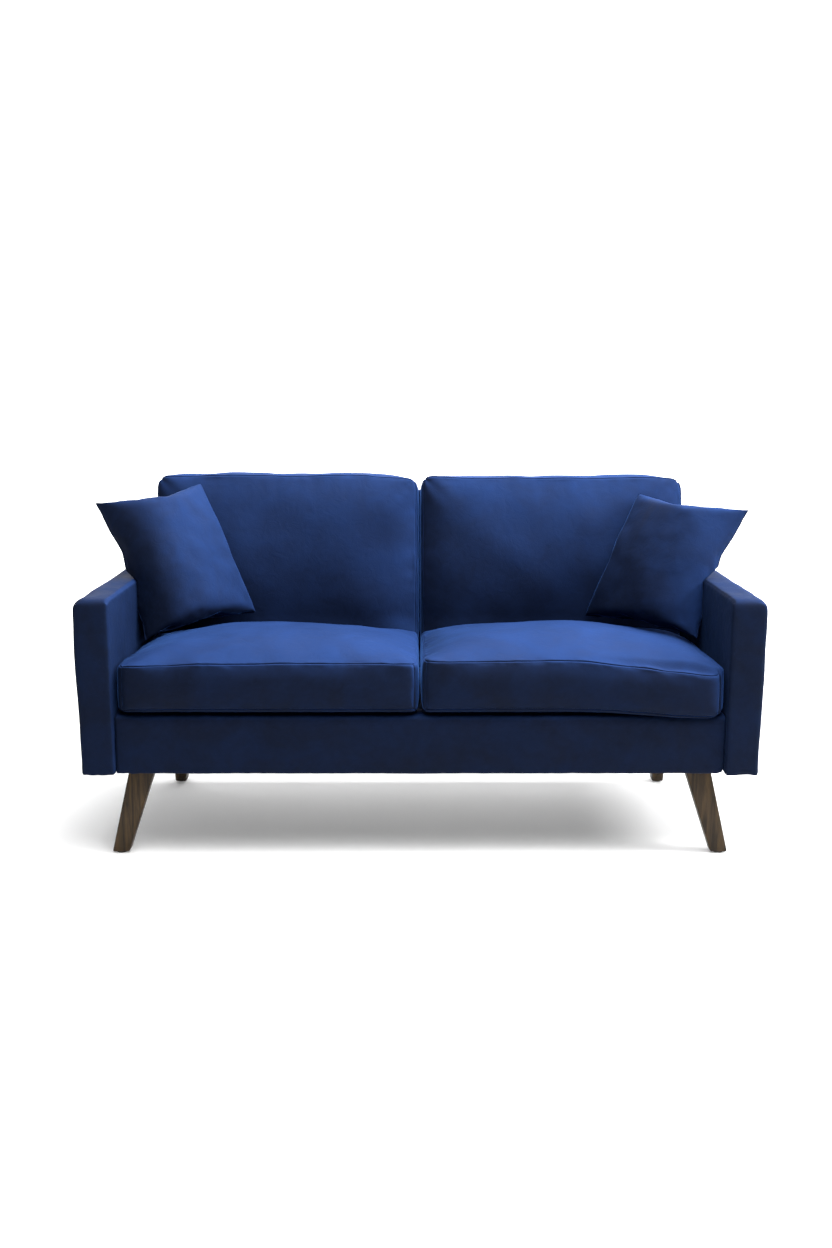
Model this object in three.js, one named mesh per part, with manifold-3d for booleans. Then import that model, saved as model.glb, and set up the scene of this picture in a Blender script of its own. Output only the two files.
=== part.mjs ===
// Two-seat velvet sofa with splayed wooden legs.
// Millimetres, +Z up. The origin is on the floor, under the middle of the sofa. The front faces -Y.
// "left" is the side at -X, as seen by someone who stands in front of the sofa.

import * as THREE from "three";
import { mergeVertices } from "three/addons/utils/BufferGeometryUtils.js";
import Module from "manifold-3d";

const wasm = await Module();
wasm.setup();

// ---- Driving dimensions ----
const width = 1520;
const depth = 780;
const totalHeight = 830;
const armHeight = 600;
const armWidth = 75;
const baseBottom = 200; // underside of the upholstered body
const recline = 12; // degrees that the back leans away from the seat
const seatPitch = 2.4; // degrees that the seat falls towards the back
const seatFrontHeight = 462; // top seam of the seat cushions at the front
const seatThickness = 120;
const backCushionThickness = 140;
const backFrameThickness = 70;
const pillowSize = 360; // corner to corner along one side
const pillowThickness = 110;
const gap = 0.4; // between pieces that touch

// ---- Lines that follow from them ----
const front = -depth / 2;
const rear = depth / 2;
const innerHalf = width / 2 - armWidth; // half of the clear width between the arms
const lean = Math.tan(THREE.MathUtils.degToRad(recline));
const leanCos = Math.cos(THREE.MathUtils.degToRad(recline));
const backTop = totalHeight - 50;
const rearLine = (z) => rear - (backTop - 10 - z) * lean; // rear face of the back at height z
const backFrontLine = (z) => rearLine(z) - backFrameThickness / leanCos;
const railSetBack = 14; // the front rail stands this far behind the arm fronts
const seatBottomFront = seatFrontHeight - seatThickness;
const railFront = front + railSetBack;

// ---- Materials ----
const finish = (color, roughness, metalness = 0) =>
  new THREE.MeshStandardMaterial({ color, roughness, metalness });
const velvet = finish(0x1b3474, 0.8);
const walnut = finish(0x4a2f18, 0.45);
const rawWood = finish(0xb98f5e, 0.8);
const steel = finish(0x8d9095, 0.4, 1);
const foam = finish(0xe9dfb8, 0.95);
const webbing = finish(0x23211f, 0.9);
const deckCloth = finish(0x101a38, 0.95);
const dustCloth = finish(0x141414, 0.95);
const plastic = finish(0x1a1a1c, 0.6);
const zipTape = finish(0x16254f, 0.7);

// ---- Geometry helpers ----
function solidOf(geometry) {
  const bare = geometry.clone();
  bare.deleteAttribute("normal");
  bare.deleteAttribute("uv");
  const merged = mergeVertices(bare, 1e-3);
  return new wasm.Manifold(
    new wasm.Mesh({
      numProp: 3,
      vertProperties: merged.attributes.position.array,
      triVerts: new Uint32Array(merged.index.array),
    }),
  );
}

function geometryOf(solid) {
  const mesh = solid.getMesh();
  const geometry = new THREE.BufferGeometry();
  geometry.setAttribute("position", new THREE.BufferAttribute(mesh.vertProperties, 3));
  geometry.setIndex(new THREE.BufferAttribute(mesh.triVerts, 1));
  geometry.computeVertexNormals();
  return geometry;
}

function cut(geometry, ...tools) {
  let solid = solidOf(geometry);
  for (const tool of tools) solid = solid.subtract(solidOf(tool));
  return geometryOf(solid);
}

function join(...geometries) {
  return geometryOf(geometries.map(solidOf).reduce((whole, piece) => whole.add(piece)));
}

// A box between two opposite corners.
function block([x0, y0, z0], [x1, y1, z1]) {
  const geometry = new THREE.BoxGeometry(x1 - x0, y1 - y0, z1 - z0);
  return geometry.translate((x0 + x1) / 2, (y0 + y1) / 2, (z0 + z1) / 2);
}

// A closed outline with each corner rounded to its own radius: points are [a, b, radius].
function outline(points) {
  const shape = new THREE.Shape();
  const corners = points.map(([a, b, radius = 0]) => ({ at: new THREE.Vector2(a, b), radius }));
  corners.forEach((corner, i) => {
    const previous = corners[(i + corners.length - 1) % corners.length].at;
    const next = corners[(i + 1) % corners.length].at;
    const into = previous.clone().sub(corner.at).setLength(corner.radius).add(corner.at);
    const out = next.clone().sub(corner.at).setLength(corner.radius).add(corner.at);
    if (i === 0) shape.moveTo(into.x, into.y);
    else shape.lineTo(into.x, into.y);
    if (corner.radius > 0) shape.quadraticCurveTo(corner.at.x, corner.at.y, out.x, out.y);
  });
  shape.closePath();
  return shape;
}

// A side profile, drawn as (y, z), swept along X from x0 to x1. A bevel rounds the two ends inwards.
function sideSweep(shape, x0, x1, bevel = 0) {
  const geometry = new THREE.ExtrudeGeometry(shape, {
    depth: x1 - x0 - 2 * bevel,
    curveSegments: 3,
    bevelEnabled: bevel > 0,
    bevelThickness: bevel,
    bevelSize: bevel,
    bevelOffset: -bevel,
    bevelSegments: 2,
  });
  const turn = new THREE.Matrix4().makeBasis(
    new THREE.Vector3(0, 1, 0),
    new THREE.Vector3(0, 0, 1),
    new THREE.Vector3(1, 0, 0),
  );
  return geometry.applyMatrix4(turn).translate(x0 + bevel, 0, 0);
}

// A plan outline, drawn as (x, y), swept upwards from z0 to z1.
function planSweep(shape, z0, z1) {
  const options = { depth: z1 - z0, bevelEnabled: false, curveSegments: 8 };
  return new THREE.ExtrudeGeometry(shape, options).translate(0, 0, z0);
}

// A rod of the given radius along "x", "y" or "z", from a start point.
function rod(radius, length, along, [x, y, z], sides = 12) {
  const geometry = new THREE.CylinderGeometry(radius, radius, length, sides);
  geometry.translate(0, length / 2, 0);
  if (along === "x") geometry.rotateZ(-Math.PI / 2);
  if (along === "z") geometry.rotateX(Math.PI / 2);
  return geometry.translate(x, y, z);
}

function moveVertices(geometry, move) {
  const position = geometry.attributes.position;
  const point = new THREE.Vector3();
  for (let i = 0; i < position.count; i++) {
    point.fromBufferAttribute(position, i);
    move(point);
    position.setXYZ(i, point.x, point.y, point.z);
  }
  return geometry;
}

// A stuffed box centred on the origin, with rounded edges and a crowned top.
function paddedBox({ size: [w, d, h], radius, crown, segments: [nx, ny, nz] }) {
  const half = new THREE.Vector3(w, d, h).divideScalar(2);
  const steps = { x: nx, y: ny, z: nz };
  const geometry = new THREE.BoxGeometry(2, 2, 2, nx, ny, nz);
  return moveVertices(geometry, (point) => {
    const heart = new THREE.Vector3();
    for (const axis of ["x", "y", "z"]) {
      const inner = half[axis] - radius;
      const edge = Math.abs(point[axis]) > 0.999;
      const share = point[axis] / (1 - 2 / steps[axis]);
      heart[axis] = edge ? Math.sign(point[axis]) * inner : inner * share;
      point[axis] = edge ? Math.sign(point[axis]) * half[axis] : heart[axis];
    }
    const out = point.clone().sub(heart);
    if (out.lengthSq() > 0) point.copy(heart).add(out.setLength(radius));
    const u = heart.x / half.x;
    const v = heart.y / half.y;
    if (point.z > 0) point.z += crown * (1 - u * u) * (1 - v * v);
  });
}

// A knife-edge pillow in its own plane: x to the side, z up, the face towards -Y.
// Its sides pull in between the corners, and it is thickest in the middle.
function pillowForm(size, thickness, seam) {
  const steps = 8;
  const pull = 0.07;
  const geometry = new THREE.BoxGeometry(2, 2, 2, steps, 1, steps);
  return moveVertices(geometry, (point) => {
    const u = point.x;
    const v = point.z;
    const swell = ((1 - u * u) * (1 - v * v)) ** 0.5;
    point.x = (size / 2) * u * (1 - pull * (1 - v * v) * Math.abs(u));
    point.z = (size / 2) * v * (1 - pull * (1 - u * u) * Math.abs(v));
    point.y = Math.sign(point.y) * (seam / 2 + ((thickness - seam) / 2) * swell);
  });
}

const sofa = new THREE.Group();

function add(name, geometry, material, parent = sofa) {
  const mesh = new THREE.Mesh(geometry, material);
  mesh.name = name;
  parent.add(mesh);
  return mesh;
}

const sides = [
  { side: "left", sign: -1 },
  { side: "right", sign: 1 },
];

// ---- Legs: one tapered block, splayed outwards at the front and backwards at the rear ----
const glideHeight = 3;
const legTop = baseBottom + 3; // the leg passes through the dust cover to the corner block
const legForm = {
  topWidth: 58,
  topThickness: 45,
  footWidth: 39,
  footThickness: 30,
  splay: 47, // outward travel of the outer edge, from top to foot
};
const legInset = 98; // from the outer side of the arm to the outer edge of the leg's top
const frontLegSetBack = 50;
const rearLegTop = 190; // y of the rear edge of the rear leg's top
const boltRadius = 4;

// The leg splays towards +X. Its outer top edge is at x = 0, and its flat face is at y = 0.
function legGeometry(tool) {
  const { topWidth, topThickness, footWidth, footThickness, splay } = legForm;
  const ease = 4;
  const shape = outline([
    [-topWidth, 0, ease],
    [0, 0, ease],
    [0, topThickness, ease],
    [-topWidth, topThickness, ease],
  ]);
  const length = legTop - gap - glideHeight;
  const geometry = planSweep(shape, glideHeight, glideHeight + length);
  moveVertices(geometry, (point) => {
    const down = 1 - (point.z - glideHeight) / length;
    point.x = point.x * (1 - down + (down * footWidth) / topWidth) + splay * down;
    point.y *= 1 - down + (down * footThickness) / topThickness;
  });
  return tool ? cut(geometry, tool) : geometry;
}

const boltInLeg = 38;
const blockThickness = 24;
const bolt = { x: -legForm.topWidth / 2 + 2, y: legForm.topThickness / 2 };
const legTurns = [];
for (const { side, sign } of sides) {
  const frontTurn = new THREE.Group();
  frontTurn.position.set(sign * (width / 2 - legInset), front + frontLegSetBack, 0);
  frontTurn.scale.x = sign;
  legTurns.push({ name: `front_${side}`, turn: frontTurn });
  const rearTurn = new THREE.Group(); // turned so that the splay points backwards
  rearTurn.position.set(sign * (width / 2 - legInset), rearLegTop, 0);
  rearTurn.rotation.z = (sign * Math.PI) / 2;
  rearTurn.scale.x = sign;
  legTurns.push({ name: `rear_${side}`, turn: rearTurn });
}
for (const { name, turn } of legTurns) {
  sofa.add(turn);
  const shaft = [bolt.x, bolt.y, legTop - boltInLeg];
  const hole = rod(boltRadius + gap, boltInLeg + 10, "z", [shaft[0], shaft[1], shaft[2] - gap]);
  const boltLength = boltInLeg + blockThickness - 2;
  const { footWidth, footThickness, splay } = legForm;
  add(`leg_${name}`, legGeometry(hole), walnut, turn);
  add(`leg_bolt_${name}`, rod(boltRadius, boltLength, "z", shaft), steel, turn);
  const footMiddle = [splay - footWidth / 2, footThickness / 2, 0];
  add(`glide_${name}`, rod(12, glideHeight - gap, "z", footMiddle, 20), plastic, turn);
}

// ---- Seat base ----
const padding = 10; // foam and velvet on the rails
const railThickness = 28;
const railTop = seatBottomFront - 3.5; // top of the covered front rail
const deckDrop = Math.tan(THREE.MathUtils.degToRad(seatPitch));
const frontRailY = railFront + padding + gap;
const rearRailY = backFrontLine(legTop + blockThickness) - railThickness - 2;
const sideRailX = innerHalf - railThickness - 4;
const railHalf = innerHalf - 4;

add(
  "front_rail",
  block(
    [-railHalf, frontRailY, baseBottom + 8],
    [railHalf, frontRailY + railThickness, railTop - padding - gap],
  ),
  rawWood,
);
const blockTop = legTop + blockThickness;
const backBoltHeight = 262;
const backBoltX = 560;
const rearRail = block(
  [-railHalf, rearRailY, blockTop + gap],
  [railHalf, rearRailY + railThickness, 300],
);
const backBoltHoles = [-backBoltX, backBoltX].map((x) =>
  rod(boltRadius + gap, railThickness + 20, "y", [x, rearRailY - 10, backBoltHeight]),
);
add("rear_rail", cut(rearRail, ...backBoltHoles), rawWood);

const sideRailStart = frontRailY + railThickness + gap;
const sideRailEnd = rearRailY - gap;
const armBoltHeight = 265;
const armBoltYs = { front: sideRailStart + 70, rear: sideRailEnd - 70 };
for (const { side, sign } of sides) {
  const x = [sign * sideRailX, sign * (sideRailX + railThickness)].sort((a, b) => a - b);
  const rail = block([x[0], sideRailStart, blockTop + gap], [x[1], sideRailEnd, 300]);
  const holes = Object.values(armBoltYs).map((y) =>
    rod(boltRadius + gap, railThickness + 20, "x", [x[0] - 10, y, armBoltHeight]),
  );
  add(`side_rail_${side}`, cut(rail, ...holes), rawWood);
}
const centreHalf = 22;
add(
  "centre_support",
  block([-centreHalf, sideRailStart, baseBottom + 8], [centreHalf, sideRailEnd, 262]),
  rawWood,
);

// Each corner block is a triangle with its square corner in the corner of the frame.
const blockLeg = 120;
for (const { name, turn } of legTurns) {
  const isFront = name.startsWith("front");
  const sign = turn.position.x < 0 ? -1 : 1;
  const cornerX = sign * railHalf;
  const cornerY = isFront ? sideRailStart : backFrontLine(baseBottom) - 4;
  const inwardY = isFront ? blockLeg : -blockLeg;
  const shape = outline([
    [cornerX, cornerY],
    [cornerX - sign * blockLeg, cornerY],
    [cornerX - sign * blockLeg, cornerY + inwardY * 0.3],
    [cornerX - sign * blockLeg * 0.3, cornerY + inwardY],
    [cornerX, cornerY + inwardY],
  ]);
  turn.updateMatrixWorld();
  const centre = new THREE.Vector3(bolt.x, bolt.y, 0).applyMatrix4(turn.matrixWorld);
  const hole = rod(boltRadius + gap, blockThickness + 20, "z", [centre.x, centre.y, legTop - 10]);
  add(`corner_block_${name}`, cut(planSweep(shape, legTop + gap, blockTop), hole), rawWood);
}

// ---- Seat springs: sinuous wires, linked by a tie wire across their middle ----
const wireRadius = 1.9;
const springsPerSeat = 4;
const springFrontZ = 312;
const springTopZ = (y) => springFrontZ - (y - sideRailStart) * deckDrop;
function sinuousSpring(x) {
  const bends = 11;
  const swing = 26;
  const startY = sideRailStart + 6;
  const endY = rearRailY - 6;
  const points = [];
  for (let i = 0; i <= bends; i++) {
    const y = startY + ((endY - startY) * i) / bends;
    const aside = i === 0 || i === bends ? 0 : (i % 2 ? 1 : -1) * swing;
    points.push(new THREE.Vector3(x + aside, y, springTopZ(y)));
  }
  const curve = new THREE.CatmullRomCurve3(points, false, "catmullrom", 0.6);
  const section = new THREE.Shape().absarc(0, 0, wireRadius, 0, 2 * Math.PI);
  return new THREE.ExtrudeGeometry(section, {
    steps: bends * 3,
    curveSegments: 3,
    bevelEnabled: false,
    extrudePath: curve,
  });
}
for (const { side, sign } of sides) {
  const pitch = (railHalf - 40) / springsPerSeat;
  const xs = Array.from({ length: springsPerSeat }, (_, i) => sign * (40 + pitch * (i + 0.5)));
  const tieY = (sideRailStart + rearRailY) / 2;
  const tieX = Math.min(...xs) - 30;
  const tieSpan = Math.max(...xs) - Math.min(...xs) + 60;
  const tie = rod(wireRadius, tieSpan, "x", [tieX, tieY, springTopZ(tieY)], 8);
  add(`spring_unit_${side}`, join(tie, ...xs.map(sinuousSpring)), steel);
}

// ---- Covers of the base ----
const coverShell = outline([
  [railFront, baseBottom, 9],
  [railFront, railTop, 9],
  [frontRailY + railThickness + 6, railTop],
  [frontRailY + railThickness + 6, railTop - padding],
  [railFront + padding, railTop - padding],
  [railFront + padding, baseBottom + 6],
  [frontRailY + railThickness - 8, baseBottom + 6],
  [frontRailY + railThickness - 8, baseBottom],
]);
add("front_panel_cover", sideSweep(coverShell, -innerHalf + 1, innerHalf - 1), velvet);

const deckThickness = 8;
const deckFront = frontRailY + railThickness + 8;
const deckTop = (y) => seatBottomFront - 1.5 - (y - front) * deckDrop;
const deckRear = backFrontLine(deckTop(200)) - 4;
const deckProfile = outline([
  [deckFront, deckTop(deckFront)],
  [deckRear, deckTop(deckRear)],
  [deckRear, deckTop(deckRear) - deckThickness],
  [deckFront, deckTop(deckFront) - deckThickness],
]);
add("seat_deck", sideSweep(deckProfile, -innerHalf + 2, innerHalf - 2), deckCloth);

const dustFront = frontRailY + railThickness + 2;
const dustRear = backFrontLine(baseBottom) - 3;
const dustShape = outline([
  [-innerHalf + 2, dustFront],
  [innerHalf - 2, dustFront],
  [innerHalf - 2, dustRear],
  [-innerHalf + 2, dustRear],
]);
const legOpenings = legTurns.map(({ turn }) => {
  const hole = block([-legForm.topWidth - 3, -3, 0], [3, legForm.topThickness + 3, legTop + 20]);
  turn.updateMatrixWorld();
  const placed = hole.applyMatrix4(turn.matrixWorld);
  placed.computeBoundingBox();
  const { min, max } = placed.boundingBox;
  return block([min.x, min.y, 0], [max.x, max.y, legTop + 20]);
});
add("dust_cover", cut(planSweep(dustShape, baseBottom, baseBottom + 2), ...legOpenings), dustCloth);

// ---- Arms: a plywood panel in a padded cover that is open underneath ----
const panelThickness = 21;
const armRound = 14;
function armProfile(inset, bottom) {
  const top = armHeight - inset;
  return outline([
    [front + inset, bottom],
    [rearLine(bottom) - inset, bottom],
    [rearLine(top) - inset, top, 24],
    [front + inset, top, 24],
  ]);
}
for (const { side, sign } of sides) {
  const middle = sign * (width / 2 - armWidth / 2);
  const wall = (armWidth - panelThickness) / 2;
  const half = armWidth / 2;
  const shell = sideSweep(armProfile(0, baseBottom), middle - half, middle + half, armRound);
  const slot = sideSweep(
    armProfile(wall, baseBottom - 20),
    middle - panelThickness / 2 - gap,
    middle + panelThickness / 2 + gap,
  );
  const innerFace = sign * innerHalf;
  const boltStart = innerFace - sign * (railThickness + 20);
  const boltEnd = middle + sign * (panelThickness / 2 - 3);
  const holeSpan = Math.abs(boltEnd - boltStart);
  const boltHoles = Object.values(armBoltYs).map((y) =>
    rod(boltRadius + gap, holeSpan, "x", [Math.min(boltStart, boltEnd), y, armBoltHeight]),
  );
  const panel = sideSweep(
    armProfile(wall + 1, baseBottom + 3),
    middle - panelThickness / 2,
    middle + panelThickness / 2,
  );
  add(`arm_cover_${side}`, cut(shell, slot, ...boltHoles), velvet);
  add(`arm_panel_${side}`, cut(panel, ...boltHoles), rawWood);
  // The bolts go in from under the seat, through the side rail, and into the panel.
  for (const [place, y] of Object.entries(armBoltYs)) {
    const headX = sign * (sideRailX - gap - 5);
    const tipX = middle + sign * (panelThickness / 2 - 4);
    const shank = rod(boltRadius, Math.abs(tipX - headX), "x", [Math.min(headX, tipX), y, armBoltHeight]);
    const headStart = sign > 0 ? headX - 1 : headX - 4;
    const head = rod(8, 5, "x", [headStart, y, armBoltHeight], 6);
    add(`arm_bolt_${place}_${side}`, join(shank, head), steel);
  }
}

// ---- Back: a timber frame with webbing, in a padded cover that is open underneath ----
const backLocal = new THREE.Group(); // its own z runs up the slope, and its own y goes to the rear
backLocal.position.set(0, backFrontLine(baseBottom), baseBottom);
backLocal.rotation.x = -THREE.MathUtils.degToRad(recline);
sofa.add(backLocal);

const backWall = 10;
const memberSize = 45;
const memberFront = backWall + 3;
const backHalf = innerHalf - 2;
const frameHalf = backHalf - 14;
const backSlope = (backTop - baseBottom) / leanCos; // height of the back, measured up the slope
const topRailStart = backSlope - 14 - memberSize;
const bottomRailStart = 18;
const member = (x0, x1, z0, z1) => block([x0, memberFront, z0], [x1, memberFront + memberSize, z1]);
const bottomRail = member(-frameHalf, frameHalf, bottomRailStart, bottomRailStart + memberSize);
const boltTip = backFrontLine(backBoltHeight) + 40;
backLocal.updateMatrixWorld();
const worldToBack = backLocal.matrixWorld.clone().invert();
const backBoltHole = (x) =>
  rod(boltRadius + gap, boltTip + 2 - rearRailY, "y", [x, rearRailY, backBoltHeight]);
const railHoles = [-backBoltX, backBoltX].map((x) => backBoltHole(x).applyMatrix4(worldToBack));
add("back_bottom_rail", cut(bottomRail, ...railHoles), rawWood, backLocal);
const topRail = member(-frameHalf, frameHalf, topRailStart, topRailStart + memberSize);
add("back_top_rail", topRail, rawWood, backLocal);
const postStart = bottomRailStart + memberSize + gap;
const postXs = { left: -frameHalf, centre: -memberSize / 2, right: frameHalf - memberSize };
for (const [place, x] of Object.entries(postXs)) {
  add(`back_post_${place}`, member(x, x + memberSize, postStart, topRailStart - gap), rawWood, backLocal);
}

// Elastic webbing is stapled over the front of the frame: upright straps crossed by level ones.
const strapWidth = 50;
const strapFront = backWall + 0.8;
const strap = (x0, x1, z0, z1) => block([x0, strapFront, z0], [x1, strapFront + 1.8, z1]);
for (const { side, sign } of sides) {
  const edge = frameHalf - 8;
  const xs = [sign * 10, sign * edge].sort((a, b) => a - b);
  const level = [0.3, 0.55, 0.8].map((share) => {
    const z = backSlope * share;
    return strap(xs[0], xs[1], z, z + strapWidth);
  });
  const upright = [0.27, 0.5, 0.73].map((share) => {
    const x = xs[0] + (xs[1] - xs[0]) * share - strapWidth / 2;
    return strap(x, x + strapWidth, bottomRailStart + 6, backSlope - 20);
  });
  add(`back_webbing_${side}`, join(...level, ...upright), webbing, backLocal);
}

const backOutline = outline([
  [backFrontLine(baseBottom), baseBottom],
  [rearLine(baseBottom), baseBottom],
  [rearLine(backTop - 10), backTop - 10, 16],
  [backFrontLine(backTop), backTop, 16],
]);
const backShell = sideSweep(backOutline, -backHalf, backHalf, 6);
const backCavity = block(
  [-frameHalf - 1, backWall, -60],
  [frameHalf + 1, memberFront + memberSize + 1, backSlope - 13],
);
backCavity.applyMatrix4(backLocal.matrixWorld);
const coverHoles = [-backBoltX, backBoltX].map(backBoltHole);
add("back_cover", cut(backShell, backCavity, ...coverHoles), velvet);

// Two bolts hold the back to the rear rail. They go in from under the seat.
for (const { side, sign } of sides) {
  const x = sign * backBoltX;
  const shank = rod(boltRadius, boltTip - rearRailY + 6, "y", [x, rearRailY - 6, backBoltHeight]);
  const head = rod(8, 5, "y", [x, rearRailY - gap - 5, backBoltHeight], 6);
  add(`back_bolt_${side}`, join(shank, head), steel);
}

// ---- Cushions: a zipped cover, with a foam or fibre core inside ----
const coverWall = 3;
function cushion(name, parent, form, core, coreMaterial, zip) {
  const shrink = (by, less) => ({
    ...form,
    size: form.size.map((length) => length - 2 * by),
    radius: form.radius - less,
  });
  const outer = paddedBox(form);
  const cavity = paddedBox(shrink(coverWall, coverWall - 1));
  const slotSize = [zip.length, 24, 8];
  const slot = new THREE.BoxGeometry(...slotSize).translate(...zip.at);
  add(`${name}_cover`, cut(outer, cavity, slot), velvet, parent);
  add(`${name}_${core}`, paddedBox(shrink(coverWall + 1, coverWall)), coreMaterial, parent);
  const tape = new THREE.BoxGeometry(zip.length - 1, 2, 7).translate(zip.at[0], zip.tapeY, zip.at[2]);
  add(`${name}_zip`, tape, zipTape, parent);
}

const seatWidth = innerHalf - 6;
const seatRearAt = backFrontLine(seatBottomFront) - backCushionThickness / leanCos - 6;
const seatDepth = seatRearAt - front;
for (const { side, sign } of sides) {
  const seat = new THREE.Group();
  seat.position.set(sign * (seatWidth / 2 + 3), front, seatBottomFront);
  seat.rotation.x = -THREE.MathUtils.degToRad(seatPitch);
  sofa.add(seat);
  const middle = new THREE.Group();
  middle.position.set(0, seatDepth / 2, seatThickness / 2);
  seat.add(middle);
  const form = {
    size: [seatWidth, seatDepth, seatThickness],
    radius: 14,
    crown: 40,
    segments: [8, 6, 3],
  };
  const zip = { length: 420, at: [0, seatDepth / 2, 0], tapeY: seatDepth / 2 - 1.2 };
  cushion(`seat_cushion_${side}`, middle, form, "foam", foam, zip);
}

const backCushionWidth = innerHalf - 6;
const backCushionBottom = 346; // height of its lower front edge
const backCushionRound = 30;
const backCushionRise = totalHeight - backCushionBottom - backCushionRound * (1 - lean * leanCos);
const backCushionHeight = backCushionRise / leanCos + backCushionRound;
for (const { side, sign } of sides) {
  const place = new THREE.Group();
  const frontAt = backFrontLine(backCushionBottom) - backCushionThickness / leanCos - 2;
  place.position.set(sign * (backCushionWidth / 2 + 3), frontAt, backCushionBottom);
  place.rotation.x = -THREE.MathUtils.degToRad(recline);
  sofa.add(place);
  const middle = new THREE.Group();
  middle.position.set(0, backCushionThickness / 2, backCushionHeight / 2);
  place.add(middle);
  const form = {
    size: [backCushionWidth, backCushionThickness, backCushionHeight],
    radius: backCushionRound,
    crown: 0,
    segments: [6, 4, 6],
  };
  const zip = {
    length: 420,
    at: [0, backCushionThickness / 2, -backCushionHeight * 0.4],
    tapeY: backCushionThickness / 2 - 1.2,
  };
  cushion(`back_cushion_${side}`, middle, form, "fill", foam, zip);
}

// ---- Throw pillows, leaning in the corners between the arms and the back ----
const pillowCentre = { x: 583, y: -20, z: 642 };
const pillowTurn = { yaw: 48, lean: -26, roll: 2 }; // degrees
const pillowSeam = 8;
for (const { side, sign } of sides) {
  const place = new THREE.Group();
  place.position.set(sign * pillowCentre.x, pillowCentre.y, pillowCentre.z);
  place.rotation.set(
    THREE.MathUtils.degToRad(pillowTurn.lean),
    THREE.MathUtils.degToRad(sign * pillowTurn.roll),
    THREE.MathUtils.degToRad(-sign * pillowTurn.yaw),
    "ZXY",
  );
  sofa.add(place);
  const outer = pillowForm(pillowSize, pillowThickness, pillowSeam);
  const cavity = pillowForm(pillowSize - 40, pillowThickness - 12, 4);
  const slot = block([-110, -1.5, -pillowSize / 2 - 10], [110, 1.5, -pillowSize / 2 + 60]);
  add(`throw_pillow_${side}_cover`, cut(outer, cavity, slot), velvet, place);
  const insert = pillowForm(pillowSize - 44, pillowThickness - 16, 2);
  add(`throw_pillow_${side}_insert`, insert, foam, place);
}

export default sofa;
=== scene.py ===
# A small velvet sofa with splayed wooden legs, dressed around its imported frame.
# Metres. The front faces -Y, and left is the side at -X.
import math
import bpy
import numpy as np
from mathutils import Matrix, Vector, noise
from mathutils.bvhtree import BVHTree


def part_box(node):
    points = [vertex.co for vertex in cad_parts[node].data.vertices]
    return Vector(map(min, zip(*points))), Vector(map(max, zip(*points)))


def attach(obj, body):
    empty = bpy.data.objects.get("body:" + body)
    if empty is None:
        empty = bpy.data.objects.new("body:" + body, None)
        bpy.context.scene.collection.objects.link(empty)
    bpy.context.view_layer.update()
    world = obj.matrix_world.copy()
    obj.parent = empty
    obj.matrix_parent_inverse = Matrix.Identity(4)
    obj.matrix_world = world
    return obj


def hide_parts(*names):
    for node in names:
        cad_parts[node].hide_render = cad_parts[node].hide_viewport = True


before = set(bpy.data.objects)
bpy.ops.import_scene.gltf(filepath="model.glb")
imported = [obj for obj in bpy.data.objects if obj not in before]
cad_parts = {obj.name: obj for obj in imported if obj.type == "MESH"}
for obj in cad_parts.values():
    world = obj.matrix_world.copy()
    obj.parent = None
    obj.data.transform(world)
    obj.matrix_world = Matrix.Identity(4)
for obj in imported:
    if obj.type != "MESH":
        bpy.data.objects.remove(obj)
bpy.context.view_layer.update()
sides = {"left": -1, "right": 1}


# small tools
def selectOnly(piece):
    bpy.ops.object.select_all(action="DESELECT")
    piece.select_set(True)
    bpy.context.view_layer.objects.active = piece


def applyAll(piece):
    selectOnly(piece)
    for modifier in list(piece.modifiers):
        bpy.ops.object.modifier_apply(modifier=modifier.name)


def readPoints(piece):
    points = np.zeros(len(piece.data.vertices) * 3)
    piece.data.vertices.foreach_get("co", points)
    return points.reshape(-1, 3)


def writePoints(piece, points):
    piece.data.vertices.foreach_set("co", np.ascontiguousarray(points).ravel())
    piece.data.update()


def readNormals(piece):
    normals = np.zeros(len(piece.data.vertices) * 3)
    piece.data.vertices.foreach_get("normal", normals)
    return normals.reshape(-1, 3)


def setValues(piece, name, values):
    field = piece.data.attributes.get(name) or piece.data.attributes.new(name, "FLOAT", "POINT")
    field.data.foreach_set("value", np.ascontiguousarray(values, np.float32))


def getValues(piece, name):
    values = np.zeros(len(piece.data.vertices), np.float32)
    piece.data.attributes[name].data.foreach_get("value", values)
    return values


def moveMesh(piece, matrix):
    piece.data.transform(matrix)
    piece.data.update()


def nearZero(values, width):  # 1 at 0, fading over width
    return np.exp(-(values / width) ** 2)


def smoothStep(values, low, high):
    t = np.clip((values - low) / (high - low), 0, 1)
    return t * t * (3 - 2 * t)


def softLimit(values, most, ease=0.006):  # eases values towards most, without a crease
    over = np.clip(values - (most - ease), 0, None)
    return np.where(over > 0, most - ease + ease * np.tanh(over / ease), values)


def unevenness(points, size, seed, octaves=2):  # soft random heights, between about -1 and 1
    shift = Vector((seed * 7.3, seed * 3.1, seed * 5.7))
    return np.array([noise.fractal(Vector(p) / size + shift, 1.0, 2.0, octaves) for p in points])


# blocks that are cut into a grid, with closer cuts near their edges
def gradedCuts(low, high, edge, spacing):
    near = [edge * share for share in (0.25, 0.55, 1)]
    middle = high - low - 2 * edge
    count = max(1, round(middle / spacing))
    inside = [low + edge + middle * i / count for i in range(1, count)]
    return [low + n for n in near] + inside + [high - n for n in reversed(near)]


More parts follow.
